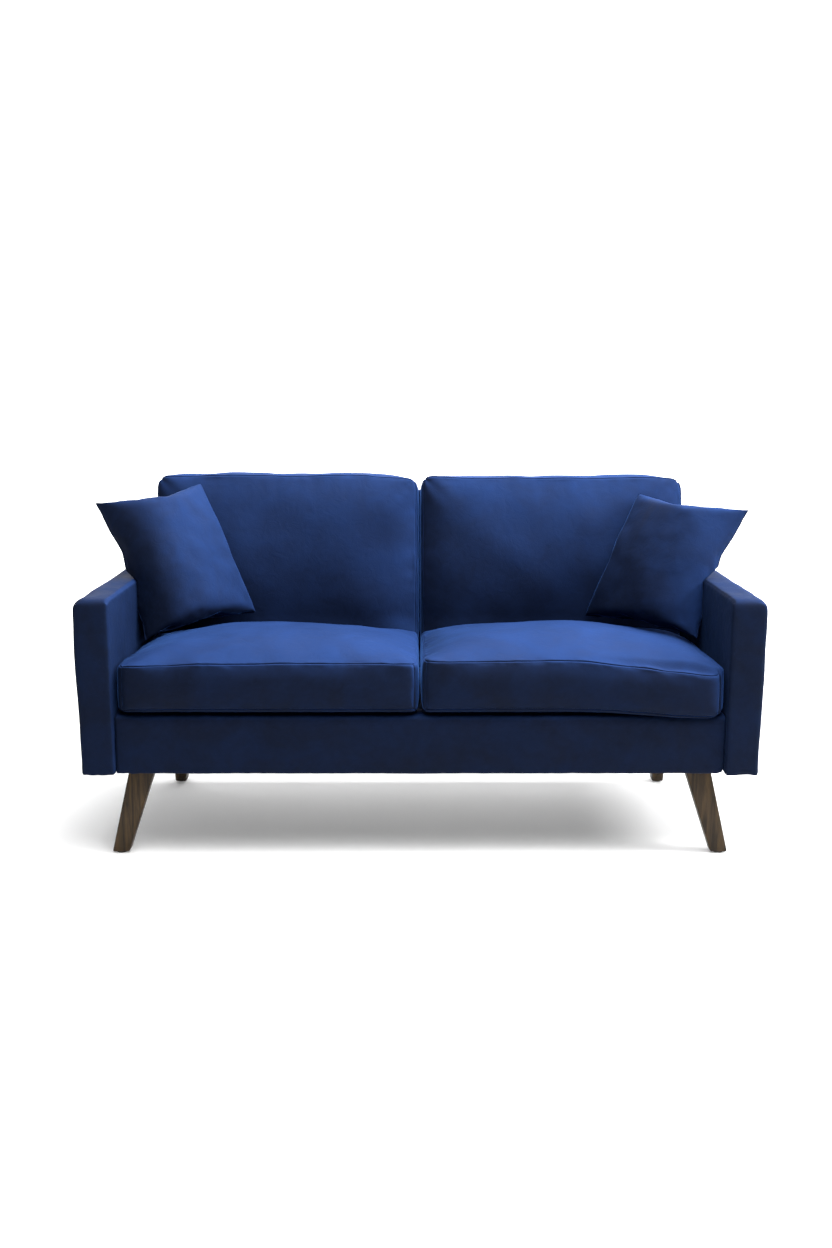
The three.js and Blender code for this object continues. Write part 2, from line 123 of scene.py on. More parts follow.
def cutBlock(name, low, high, edges, spacing):
    bpy.ops.object.select_all(action="DESELECT")
    middle = [(a + b) / 2 for a, b in zip(low, high)]
    size = [b - a for a, b in zip(low, high)]
    bpy.ops.mesh.primitive_cube_add(size=1, location=middle, scale=size)
    block = bpy.context.object
    block.name = name
    bpy.ops.object.transform_apply(location=True, rotation=True, scale=True)
    bpy.ops.object.mode_set(mode="EDIT")
    for axis in range(3):
        cuts = gradedCuts(low[axis], high[axis], edges[axis], spacing) if edges[axis] else []
        direction = [float(axis == k) for k in range(3)]
        for place in cuts:
            bpy.ops.mesh.select_all(action="SELECT")
            onPlane = [place * d for d in direction]
            bpy.ops.mesh.bisect(plane_co=onPlane, plane_no=direction)
    bpy.ops.mesh.select_all(action="DESELECT")
    bpy.ops.object.mode_set(mode="OBJECT")
    return block


def seamDistance(points, low, high, axis):
    # how far each point is, over the surface, from the seams around the two panels that face along axis
    others = [k for k in range(3) if k != axis]
    gaps = [np.minimum(points[:, k] - low[k], high[k] - points[:, k]) for k in others]
    inFromSides = np.min(gaps, axis=0)
    inFromPanels = np.minimum(points[:, axis] - low[axis], high[axis] - points[:, axis])
    return inFromSides + inFromPanels


def roundEdge(points, low, high, axes, signs, radius):
    # turns the square corner between two faces into an arc
    outs = []
    for axis, sign in zip(axes, signs):
        face = high[axis] if sign > 0 else low[axis]
        outs.append(np.clip((points[:, axis] - face) * sign + radius, 0, None))
    both = (outs[0] > 0) & (outs[1] > 0)
    scale = np.where(both, np.maximum(*outs) / np.maximum(np.hypot(*outs), 1e-9), 1)
    for axis, sign, out in zip(axes, signs, outs):
        points[:, axis] += sign * out * (scale - 1)
    return points


def roundAll(points, low, high, radius):
    inner = np.clip(points, np.array(low) + radius, np.array(high) - radius)
    out = points - inner
    length = np.linalg.norm(out, axis=1, keepdims=True)
    return np.where(length > 1e-9, inner + out / np.maximum(length, 1e-9) * radius, points)


# stuffing: pressure swells the cover, and the held points stay
def swell(piece, hold, pressure, cap, frames=20):
    group = piece.vertex_groups.new(name="hold")
    for index, weight in enumerate(hold):
        if weight > 0:
            group.add([index], float(min(weight, 1)), "REPLACE")
    before = readPoints(piece)
    selectOnly(piece)
    modifier = piece.modifiers.new("Cloth", "CLOTH")
    cloth = modifier.settings
    cloth.quality = 5
    cloth.mass = 0.3
    cloth.tension_stiffness = cloth.compression_stiffness = 15
    cloth.shear_stiffness = 5
    cloth.bending_stiffness = 0.6
    cloth.use_pressure = True
    cloth.uniform_pressure_force = pressure
    cloth.effector_weights.gravity = 0
    cloth.vertex_group_mass = "hold"
    modifier.point_cache.frame_start = 1
    modifier.point_cache.frame_end = frames
    for step in range(1, frames + 1):
        bpy.context.scene.frame_set(step)
    bpy.ops.object.modifier_apply(modifier=modifier.name)
    bpy.context.scene.frame_set(1)
    piece.vertex_groups.clear()
    move = readPoints(piece) - before
    length = np.linalg.norm(move, axis=1, keepdims=True)
    softCap = cap * np.tanh(length / cap)
    writePoints(piece, before + move / np.maximum(length, 1e-9) * softCap)


def refine(piece, levels):
    modifier = piece.modifiers.new("Subdivision", "SUBSURF")
    modifier.levels = modifier.render_levels = levels
    applyAll(piece)
    selectOnly(piece)
    bpy.ops.object.shade_smooth()


def sewSeams(piece, depth, width, pucker, pitch, seed):
    # pulls the seam in, and gathers the cloth beside it
    distance = np.abs(getValues(piece, "seam"))
    points, normals = readPoints(piece), readNormals(piece)
    groove = -depth * nearZero(distance, width)
    beside = nearZero(distance - 2.2 * width, 2.6 * width)
    gathers = unevenness(points, pitch, seed, 3) * pucker * beside
    writePoints(piece, points + normals * (groove + gathers)[:, None])


# materials
def newMaterial(name, **constants):
    material = bpy.data.materials.new(name)
    material.use_nodes = True
    shader = material.node_tree.nodes["Principled BSDF"]
    for socket, value in constants.items():
        shader.inputs[socket.replace("_", " ")].default_value = value
    return material, material.node_tree, shader


def addNode(tree, kind, **settings):
    node = tree.nodes.new(kind)
    for key, value in settings.items():
        if key.startswith("in_"):
            node.inputs[key[3:].replace("_", " ")].default_value = value
        else:
            setattr(node, key, value)
    return node


def mixNumbers(tree, operation, first, second):
    node = tree.nodes.new("ShaderNodeMath")
    node.operation = operation
    for socket, value in zip(node.inputs, (first, second)):
        if isinstance(value, (int, float)):
            socket.default_value = value
        else:
            tree.links.new(value, socket)
    return node.outputs[0]


def startGroup(name, inputs, outputs):
    group = bpy.data.node_groups.new(name, "ShaderNodeTree")
    for label, kind, value in inputs:
        socket = group.interface.new_socket(label, in_out="INPUT", socket_type=kind)
        socket.default_value = value
    for label, kind in outputs:
        group.interface.new_socket(label, in_out="OUTPUT", socket_type=kind)
    return group, group.nodes.new("NodeGroupInput").outputs, group.nodes.new("NodeGroupOutput").inputs


def blendColours(tree, share, first, second):
    blend = addNode(tree, "ShaderNodeMix", data_type="RGBA")
    tree.links.new(share, blend.inputs["Factor"])
    tree.links.new(first, blend.inputs[6])
    tree.links.new(second, blend.inputs[7])
    return blend.outputs[2]


numberSocket, colourSocket, vectorSocket = "NodeSocketFloat", "NodeSocketColor", "NodeSocketVector"


def makePileAndPaintedLight():
    # velvet: pile that lies in brushed patches, with a fine nap, plus painted light: a lit colour painted
    # where the surface faces a given way
    group, given, made = startGroup("pileAndPaintedLight", [
        ("Vector", vectorSocket, (0, 0, 0)), ("Deep", colourSocket, (0, 0, 0, 1)),
        ("Brushed", colourSocket, (0, 0, 0, 1)), ("Painted Light", colourSocket, (0, 0, 0, 1)),
        ("Patch Size", numberSocket, 5.0), ("Nap Size", numberSocket, 260.0),
        ("Contrast", numberSocket, 1.0), ("Painted Light Way", vectorSocket, (0, 0, 1)),
        ("Painted Light From", numberSocket, 0.0), ("Painted Light To", numberSocket, 1.0),
    ], [("Color", colourSocket), ("Roughness", numberSocket), ("Height", numberSocket)])
    links = group.links
    patches = addNode(group, "ShaderNodeTexNoise", in_Detail=3.0, in_Roughness=0.55, in_Distortion=0.6)
    streaks = addNode(group, "ShaderNodeTexNoise", in_Detail=2.0, in_Roughness=0.5, in_Distortion=1.2)
    nap = addNode(group, "ShaderNodeTexNoise", in_Detail=2.0, in_Roughness=0.6)
    for texture in (patches, streaks, nap):
        links.new(given["Vector"], texture.inputs["Vector"])
    links.new(given["Patch Size"], patches.inputs["Scale"])
    links.new(mixNumbers(group, "MULTIPLY", given["Patch Size"], 3.4), streaks.inputs["Scale"])
    links.new(given["Nap Size"], nap.inputs["Scale"])
    spread = addNode(group, "ShaderNodeMapRange", in_From_Min=0.36, in_From_Max=0.66)
    links.new(patches.outputs[0], spread.inputs["Value"])
    streakShare = mixNumbers(group, "MULTIPLY", mixNumbers(group, "SUBTRACT", streaks.outputs[0], 0.5), 0.9)
    napShare = mixNumbers(group, "MULTIPLY", mixNumbers(group, "SUBTRACT", nap.outputs[0], 0.5), 0.5)
    whole = mixNumbers(group, "ADD", mixNumbers(group, "ADD", spread.outputs[0], streakShare), napShare)
    centred = mixNumbers(group, "MULTIPLY", mixNumbers(group, "SUBTRACT", whole, 0.5), given["Contrast"])
    mask = addNode(group, "ShaderNodeMath", operation="ADD", use_clamp=True)
    links.new(centred, mask.inputs[0])
    mask.inputs[1].default_value = 0.5
    patchColour = blendColours(group, mask.outputs[0], given["Deep"], given["Brushed"])
    # painted light: the colour turns to the painted lit colour where the surface faces the given way, and
    # keeps the patch colour elsewhere; the painted light is patchy with the brushed patches
    facing = addNode(group, "ShaderNodeNewGeometry")
    towardPaintedLight = addNode(group, "ShaderNodeVectorMath", operation="DOT_PRODUCT")
    links.new(facing.outputs["Normal"], towardPaintedLight.inputs[0])
    links.new(given["Painted Light Way"], towardPaintedLight.inputs[1])
    opened = addNode(group, "ShaderNodeMapRange", interpolation_type="SMOOTHSTEP")
    links.new(towardPaintedLight.outputs["Value"], opened.inputs["Value"])
    links.new(given["Painted Light From"], opened.inputs["From Min"])
    links.new(given["Painted Light To"], opened.inputs["From Max"])
    unevenPile = mixNumbers(group, "ADD", mixNumbers(group, "MULTIPLY", mask.outputs[0], 0.35), 0.65)
    openShare = mixNumbers(group, "MULTIPLY", opened.outputs[0], unevenPile)
    links.new(blendColours(group, openShare, patchColour, given["Painted Light"]), made["Color"])
    rough = addNode(group, "ShaderNodeMapRange", in_To_Min=0.62, in_To_Max=0.9)
    links.new(mask.outputs[0], rough.inputs["Value"])
    links.new(rough.outputs[0], made["Roughness"])
    height = mixNumbers(group, "ADD", mixNumbers(group, "MULTIPLY", nap.outputs[0], 0.25),
                        mixNumbers(group, "MULTIPLY", streaks.outputs[0], 0.75))
    links.new(height, made["Height"])
    return group


def makeWoodGrain():
    # long grain along X of the given vector, with rings, fine pores and slow colour changes
    group, given, made = startGroup("woodGrain", [
        ("Vector", vectorSocket, (0, 0, 0)), ("Dark", colourSocket, (0, 0, 0, 1)),
        ("Light", colourSocket, (0, 0, 0, 1)), ("Ring Size", numberSocket, 60.0),
    ], [("Color", colourSocket), ("Roughness", numberSocket), ("Height", numberSocket)])
    links = group.links
    stretch = addNode(group, "ShaderNodeMapping")
    stretch.inputs["Scale"].default_value = (0.07, 1.0, 1.0)
    links.new(given["Vector"], stretch.inputs["Vector"])
    rings = addNode(group, "ShaderNodeTexNoise", in_Detail=3.0, in_Roughness=0.6, in_Distortion=1.4)
    pores = addNode(group, "ShaderNodeTexNoise", in_Detail=4.0, in_Roughness=0.7)
    links.new(stretch.outputs[0], rings.inputs["Vector"])
    links.new(stretch.outputs[0], pores.inputs["Vector"])
    links.new(given["Ring Size"], rings.inputs["Scale"])
    links.new(mixNumbers(group, "MULTIPLY", given["Ring Size"], 9.0), pores.inputs["Scale"])
    spread = addNode(group, "ShaderNodeMapRange", in_From_Min=0.35, in_From_Max=0.68)
    links.new(rings.outputs[0], spread.inputs["Value"])
    poreShare = mixNumbers(group, "MULTIPLY", mixNumbers(group, "SUBTRACT", pores.outputs[0], 0.5), 0.9)
    mask = addNode(group, "ShaderNodeMath", operation="ADD", use_clamp=True)
    links.new(spread.outputs[0], mask.inputs[0])
    links.new(poreShare, mask.inputs[1])
    links.new(blendColours(group, mask.outputs[0], given["Dark"], given["Light"]), made["Color"])
    rough = addNode(group, "ShaderNodeMapRange", in_To_Min=0.52, in_To_Max=0.36)
    links.new(mask.outputs[0], rough.inputs["Value"])
    links.new(rough.outputs[0], made["Roughness"])
    links.new(mask.outputs[0], made["Height"])
    return group


def makeWeave():
    # plain cloth: two crossing sets of threads
    group, given, made = startGroup("plainWeave", [
        ("Vector", vectorSocket, (0, 0, 0)), ("Dark", colourSocket, (0, 0, 0, 1)),
        ("Light", colourSocket, (0, 0, 0, 1)), ("Threads", numberSocket, 600.0),
    ], [("Color", colourSocket), ("Height", numberSocket)])
    links = group.links
    heights = []
    for direction in ("X", "Y"):
        wave = addNode(group, "ShaderNodeTexWave", bands_direction=direction, in_Distortion=0.6)
        links.new(given["Vector"], wave.inputs["Vector"])
        links.new(given["Threads"], wave.inputs["Scale"])
        heights.append(wave.outputs["Fac"])
    cross = mixNumbers(group, "MULTIPLY", *heights)
    soil = addNode(group, "ShaderNodeTexNoise", in_Scale=9.0, in_Detail=3.0)
    links.new(given["Vector"], soil.inputs["Vector"])
    mask = mixNumbers(group, "ADD", mixNumbers(group, "MULTIPLY", cross, 0.6),
                      mixNumbers(group, "MULTIPLY", soil.outputs[0], 0.4))
    links.new(blendColours(group, mask, given["Dark"], given["Light"]), made["Color"])
    links.new(cross, made["Height"])
    return group


def finishMaterial(tree, shader, group, values, bump, turn=None):
    place = addNode(tree, "ShaderNodeTexCoord")
    source = place.outputs["Object"]
    if turn:
        mapping = addNode(tree, "ShaderNodeMapping")
        mapping.inputs["Rotation"].default_value = turn
        tree.links.new(source, mapping.inputs["Vector"])
        source = mapping.outputs[0]
    effect = addNode(tree, "ShaderNodeGroup", node_tree=group)
    tree.links.new(source, effect.inputs["Vector"])
    for label, value in values.items():
        effect.inputs[label].default_value = value
    tree.links.new(effect.outputs["Color"], shader.inputs["Base Color"])
    if "Roughness" in effect.outputs:
        tree.links.new(effect.outputs["Roughness"], shader.inputs["Roughness"])
    relief = addNode(tree, "ShaderNodeBump", in_Strength=bump[0], in_Distance=bump[1])
    tree.links.new(effect.outputs["Height"], relief.inputs["Height"])
    tree.links.new(relief.outputs[0], shader.inputs["Normal"])


pileAndPaintedLight, woodGrain, plainWeave = makePileAndPaintedLight(), makeWoodGrain(), makeWeave()

velvetStyle = {
    "deep": (0.0019, 0.0040, 0.0120, 1),
    "brushed": (0.0038, 0.0092, 0.0300, 1),
    # painted light: a lit blue painted where the velvet faces up and to the right, the way given below
    "open": (0.0145, 0.041, 0.150, 1),
    "sheenTint": (0.115, 0.32, 1.0, 1),
    "paintedLightWay": (0.65, -0.06, 0.76),
    "sheenSpread": 0.24,
    "napSize": 320.0,
    "bump": (0.25, 0.004),  # strength and depth
}


# velvet with painted light: the last two numbers set where the painted lit colour starts and where it is
# full
def makeVelvet(name, patchSize, contrast, sheen, openFrom, openTo):
    style = velvetStyle
    material, tree, shader = newMaterial(
        name, Sheen_Weight=sheen, Sheen_Roughness=style["sheenSpread"], Sheen_Tint=style["sheenTint"],
        Specular_IOR_Level=0.06)
    values = {
        "Deep": style["deep"], "Brushed": style["brushed"], "Painted Light": style["open"],
        "Painted Light Way": style["paintedLightWay"], "Painted Light From": openFrom, "Painted Light To": openTo,
        "Patch Size": patchSize, "Nap Size": style["napSize"], "Contrast": contrast,
    }
    finishMaterial(tree, shader, pileAndPaintedLight, values, style["bump"])
    return material


def makeWood(name, dark, light, ringSize, turn=None):
    material, tree, shader = newMaterial(name, Specular_IOR_Level=0.22)
    finishMaterial(tree, shader, woodGrain, {"Dark": dark, "Light": light, "Ring Size": ringSize},
                   (0.25, 0.0006), turn)
    return material


def makeCloth(name, dark, light, threads, roughness=0.9):
    material, tree, shader = newMaterial(name, Roughness=roughness, Sheen_Weight=0.2)
    finishMaterial(tree, shader, plainWeave, {"Dark": dark, "Light": light, "Threads": threads},
                   (0.5, 0.0008))
    return material


quarter = math.pi / 2
# copies of one velvet that differ in patch size, sheen and how much painted light each takes; the right
# pillow's copy has more painted light than the left's
bodyVelvet = makeVelvet("bodyVelvet", 11.0, 0.45, 0.08, 0.3, 1.4)
seatVelvet = makeVelvet("seatVelvet", 9.0, 0.5, 0.3, 0.17, 0.86)
backVelvet = makeVelvet("backVelvet", 9.0, 0.5, 0.42, -0.13, 0.84)
pillowVelvet = {"left": makeVelvet("pillowVelvetLeft", 12.0, 0.5, 0.34, 0.05, 1.34),
                "right": makeVelvet("pillowVelvetRight", 12.0, 0.5, 0.4, -0.36, 1.0)}
legWood = makeWood("legWood", (0.0115, 0.006, 0.0016, 1), (0.05, 0.027, 0.0068, 1), 55.0,
                   (0, quarter, 0))
frameWood = makeWood("frameWood", (0.36, 0.22, 0.11, 1), (0.66, 0.47, 0.28, 1), 40.0)
deckCloth = makeCloth("deckCloth", (0.008, 0.014, 0.04, 1), (0.03, 0.05, 0.13, 1), 420.0)
dustCloth = makeCloth("dustCloth", (0.004, 0.004, 0.005, 1), (0.022, 0.022, 0.024, 1), 260.0, 0.95)
tapeCloth = makeCloth("tapeCloth", (0.01, 0.02, 0.07, 1), (0.03, 0.055, 0.17, 1), 900.0, 0.7)
strapCloth = makeCloth("strapCloth", (0.008, 0.008, 0.009, 1), (0.04, 0.04, 0.042, 1), 500.0, 0.85)
foamCloth = makeCloth("foamCloth", (0.6, 0.54, 0.36, 1), (0.82, 0.76, 0.56, 1), 300.0, 0.95)
steel, steelTree, steelShader = newMaterial("steel", Metallic=1.0)
# painted light: the steel's upward faces take its light colour fully
finishMaterial(steelTree, steelShader, pileAndPaintedLight,
               {"Deep": (0.32, 0.32, 0.33, 1), "Brushed": (0.6, 0.6, 0.61, 1), "Painted Light": (0.6, 0.6, 0.61, 1),
                "Patch Size": 60.0, "Nap Size": 900.0, "Contrast": 0.7}, (0.1, 0.0002))
plastic, plasticTree, plasticShader = newMaterial("plastic", Roughness=0.5)
finishMaterial(plasticTree, plasticShader, plainWeave,
               {"Dark": (0.02, 0.02, 0.02, 1), "Light": (0.04, 0.04, 0.04, 1), "Threads": 700.0},
               (0.15, 0.0002))
print("materials made")


def dress(piece, material, body, slot, *nodes):
    piece.data.materials.clear()
    piece.data.materials.append(material)
    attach(piece, body)
    if nodes:
        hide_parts(*nodes)


for name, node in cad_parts.items():
    if name.startswith(("spring", "leg_bolt", "arm_bolt", "back_bolt")):
        kept = steel
    elif name.startswith("back_webbing"):
        kept = strapCloth
    elif name.startswith("glide"):
        kept = plastic
    elif name.endswith(("foam", "fill", "insert")):
        kept = foamCloth
    elif name.endswith("zip"):
        kept = tapeCloth
    else:
        kept = frameWood
    node.data.materials.clear()
    node.data.materials.append(kept)

# camera, lights and floor
cameraStyle = {"place": (-0.009, -3.170, 1.067), "pitch": 79.41, "lens": 37.24}
bpy.ops.object.camera_add(
    location=cameraStyle["place"], rotation=(math.radians(cameraStyle["pitch"]), 0, 0))
camera = bpy.context.object
camera.data.lens = cameraStyle["lens"]
bpy.context.scene.camera = camera

stageStyle = {
    "halfWidth": 7.0, "front": -6.0, "bendStart": 2.6, "bendRadius": 1.6, "bendSteps": 24, "top": 6.0,
    "glow": {"near": 0.19, "far": 0.95, "from": 1.5, "to": 3.2},  # glow strength, and where it grows
    "lights": [
        {"name": "topSoftbox", "place": (0.7, -0.55, 3.0), "size": (3.8, 2.8), "power": 262,
         "aim": (0.1, 0, 0.3)},
        {"name": "rightSoftbox", "place": (3.0, -0.6, 2.1), "size": (1.1, 1.1), "power": 118,
         "aim": (0, 0, 0.6)},
        {"name": "wallWash", "place": (0, 1.8, 4.2), "size": (5.0, 0.6), "power": 190,
         "aim": (0, 4.2, 1.6)},
    ],
    "world": 0.08,
}


def makeBackdrop(style):
    bpy.ops.object.select_all(action="DESELECT")
    bpy.ops.mesh.primitive_plane_add(size=1)
    floor = bpy.context.object
    floor.name = "studioFloor"
    points = readPoints(floor)
    points[:, 0] *= 2 * style["halfWidth"]
    points[:, 1] = np.where(points[:, 1] < 0, style["front"], style["bendStart"])
    writePoints(floor, points)
    bpy.ops.object.mode_set(mode="EDIT")
    bpy.ops.mesh.select_mode(type="EDGE")
    bpy.ops.mesh.select_all(action="DESELECT")
    bpy.ops.object.mode_set(mode="OBJECT")
    for edge in floor.data.edges:
        edge.select = all(floor.data.vertices[i].co.y > 0 for i in edge.vertices)
    bpy.ops.object.mode_set(mode="EDIT")
    steps = style["bendSteps"]
    stride = style["bendRadius"] * quarter / steps
    for step in range(steps):
        angle = (step + 0.5) * quarter / steps
        bpy.ops.mesh.extrude_region_move(
            TRANSFORM_OT_translate={"value": (0, stride * math.cos(angle), stride * math.sin(angle))})
    bpy.ops.mesh.extrude_region_move(TRANSFORM_OT_translate={"value": (0, 0, style["top"])})
    bpy.ops.object.mode_set(mode="OBJECT")
    bpy.ops.object.shade_smooth()
    material, tree, shader = newMaterial("paleFloor", Roughness=0.95, Specular_IOR_Level=0.1)
    shader.inputs["Base Color"].default_value = (0.86, 0.86, 0.86, 1)
    # the floor glows a little under the sofa, and fully further out
    shader.inputs["Emission Strength"].default_value = 1.0
    away = addNode(tree, "ShaderNodeVectorMath", operation="LENGTH")
    tree.links.new(addNode(tree, "ShaderNodeTexCoord").outputs["Object"], away.inputs[0])
    wanted = style["glow"]
    glow = addNode(tree, "ShaderNodeMapRange", interpolation_type="SMOOTHSTEP",
                   in_From_Min=wanted["from"], in_From_Max=wanted["to"],
                   in_To_Min=wanted["near"], in_To_Max=wanted["far"])
    tree.links.new(away.outputs["Value"], glow.inputs["Value"])
    tint = addNode(tree, "ShaderNodeCombineColor")
    for socket in tint.inputs:
        tree.links.new(glow.outputs[0], socket)
    tree.links.new(tint.outputs[0], shader.inputs["Emission Color"])
    floor.data.materials.append(material)


makeBackdrop(stageStyle)
for lamp in stageStyle["lights"]:
    away = Vector(lamp["place"]) - Vector(lamp["aim"])
    turn = away.to_track_quat("Z", "Y").to_euler()
    bpy.ops.object.light_add(type="AREA", location=lamp["place"], rotation=turn)
    light = bpy.context.object
    light.name = lamp["name"]
    light.data.shape = "RECTANGLE"
    light.data.size, light.data.size_y = lamp["size"]
    light.data.energy = lamp["power"]
world = bpy.context.scene.world or bpy.data.worlds.new("World")
bpy.context.scene.world = world
world.use_nodes = True
sky = world.node_tree.nodes["Background"]
sky.inputs["Color"].default_value = (1, 1, 1, 1)
seen = addNode(world.node_tree, "ShaderNodeLightPath").outputs["Is Camera Ray"]
seenShare = mixNumbers(world.node_tree, "MULTIPLY", seen, 1 - stageStyle["world"])
skyStrength = mixNumbers(world.node_tree, "ADD", seenShare, stageStyle["world"])
world.node_tree.links.new(skyStrength, sky.inputs["Strength"])
bpy.context.scene.view_settings.view_transform = "Standard"
print("studio ready")

# seat cushions
seatStyle = {
    "pitch": 2.4, "thickness": 0.12, "edge": 0.014, "spacing": 0.019, "crown": 0.041,
    "outerCorner": 0.05, "innerCorner": 0.028, "underRoll": 0.024,
    "domePowers": (2.1, 2.6), "pressure": 4.5, "cap": 0.022, "seamHold": 0.55, "seamReach": 0.004,
    "seam": (0.0022, 0.0022, 0.0016, 0.05),  # groove depth and width, gather height and pitch
    "topWave": (0.0045, 0.16), "frontWave": (0.0025, 0.12), "gapBulge": 0.0026, "clearance": 0.0002,
    "fill": 0.85,
    # seam heights against the plain box: front outer, front inner, rear outer, rear inner
    "left": {"seam": (-0.011, -0.004, -0.012, -0.003), "droop": 0.0, "forward": 0.0, "seed": 3},
    "right": {"seam": (-0.016, 0.004, -0.012, -0.003), "droop": 0.014, "forward": 0.009, "seed": 8},
}


def makeSeatCushion(side):
    sign, style, own = sides[side], seatStyle, seatStyle[side]
    low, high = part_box(f"seat_cushion_{side}_cover")
    width, depth, thickness = high.x - low.x, high.y - low.y, style["thickness"]
    start, end = (0.0, 0.0, 0.0), (width, depth, thickness)
    edge = style["edge"]
    cushion = cutBlock(f"seatCushion_{side}", start, end, (edge, edge, edge), style["spacing"])
    points = readPoints(cushion)
    seam = seamDistance(points, start, end, 2)
    setValues(cushion, "seam", seam)
    points = roundAll(points, start, end, edge)
    points = roundEdge(points, start, end, (0, 1), (sign, -1), style["outerCorner"])
    points = roundEdge(points, start, end, (0, 1), (-sign, -1), style["innerCorner"])
    points = roundEdge(points, start, end, (1, 2), (-1, -1), style["underRoll"])
    across = (points[:, 0] / width * 2 - 1) * sign  # -1 at the middle of the sofa, 1 at the arm
    along = points[:, 1] / depth  # 0 at the front, 1 at the back
    up = np.clip(points[:, 2] / thickness, 0, 1)
    sideways, lengthways = style["domePowers"]
    dome = (1 - np.abs(across) ** sideways) * (1 - np.abs(2 * along - 1) ** lengthways)
    points[:, 2] += up ** 3 * style["crown"] * np.clip(dome, 0, None)
    writePoints(cushion, points)
    onBottom = np.where(points[:, 2] < 0.004, 1.0, 0.0)
    hold = onBottom + style["seamHold"] * nearZero(seam, style["seamReach"])
    swell(cushion, hold, style["pressure"], style["cap"])
    refine(cushion, 2)
    sewSeams(cushion, *style["seam"], own["seed"])
    points = readPoints(cushion)
    across = np.clip((points[:, 0] / width * 2 - 1) * sign, -1, 1)
    along = np.clip(points[:, 1] / depth, 0, 1)
    up = np.clip(points[:, 2] / thickness, 0, 1)
    outer, inner = (across + 1) / 2, (1 - across) / 2
    frontOuter, frontInner, rearOuter, rearInner = own["seam"]
    front = frontOuter * outer ** 2 + frontInner * inner
    rear = rearOuter * outer ** 2 + rearInner * inner
    points[:, 2] += up * (front * (1 - along) + rear * along)
    height, size = style["topWave"]
    points[:, 2] += up ** 2 * height * unevenness(points, size, own["seed"])
    height, size = style["frontWave"]
    points[:, 1] += height * unevenness(points, size, own["seed"] + 1) * (1 - along)
    atFront = 1 - smoothStep(points[:, 1], 0.012, 0.03)
    points[:, 2] -= own["droop"] * smoothStep(across, 0.0, 0.95) * atFront
    points[:, 1] -= own["forward"] * smoothStep(across, 0.2, 1.0) * (1 - along) ** 2
    inner = style["gapBulge"] * up * (1 - up) * 4  # the two cushions meet in the middle of their height
    atArm = -style["clearance"]
    least, most = (atArm, inner) if sign < 0 else (inner, atArm)
    points[:, 0] = softLimit(points[:, 0], width + most)
    points[:, 0] = -softLimit(-points[:, 0], least)
    onDeck = points[:, 1] > 0.02
    points[:, 2] = np.where(onDeck, np.maximum(points[:, 2], 0), points[:, 2])
    writePoints(cushion, points)
    pitch = math.radians(style["pitch"])
    corner = Vector((low.x, low.y, low.z + depth * math.sin(pitch)))
    moveMesh(cushion, Matrix.Translation(corner) @ Matrix.Rotation(-pitch, 4, "X"))
    nodes = [f"seat_cushion_{side}_{part}" for part in ("cover", "foam")]
    dress(cushion, seatVelvet, f"seat_cushion_{side}", "cushion_velvet", *nodes)
    return cushion


seatCushions = {side: makeSeatCushion(side) for side in sides}
print("seat cushions made")

# back cushions
backStyle = {
    "recline": 12, "thickness": 0.14, "cadEdge": 0.03, "corner": 0.03, "edge": 0.012,
    "spacing": 0.02, "pressure": 4.5, "cap": 0.024, "tuck": 0.021, "belly": 0.012,
    "seamHold": 0.5, "seamReach": 0.004, "footHold": 0.8,
    "seam": (0.0022, 0.0022, 0.0016, 0.05),  # groove depth and width, gather height and pitch
    "topWave": (0.006, 0.15), "frontWave": (0.0035, 0.19), "outerBulge": 0.008, "gapBulge": 0.0026,
    "clearance": 0.0002, "fill": 0.75,
    "left": {"rise": 0.004, "sag": 0.006, "seed": 21},
    "right": {"rise": -0.004, "sag": 0.0, "seed": 34},
}


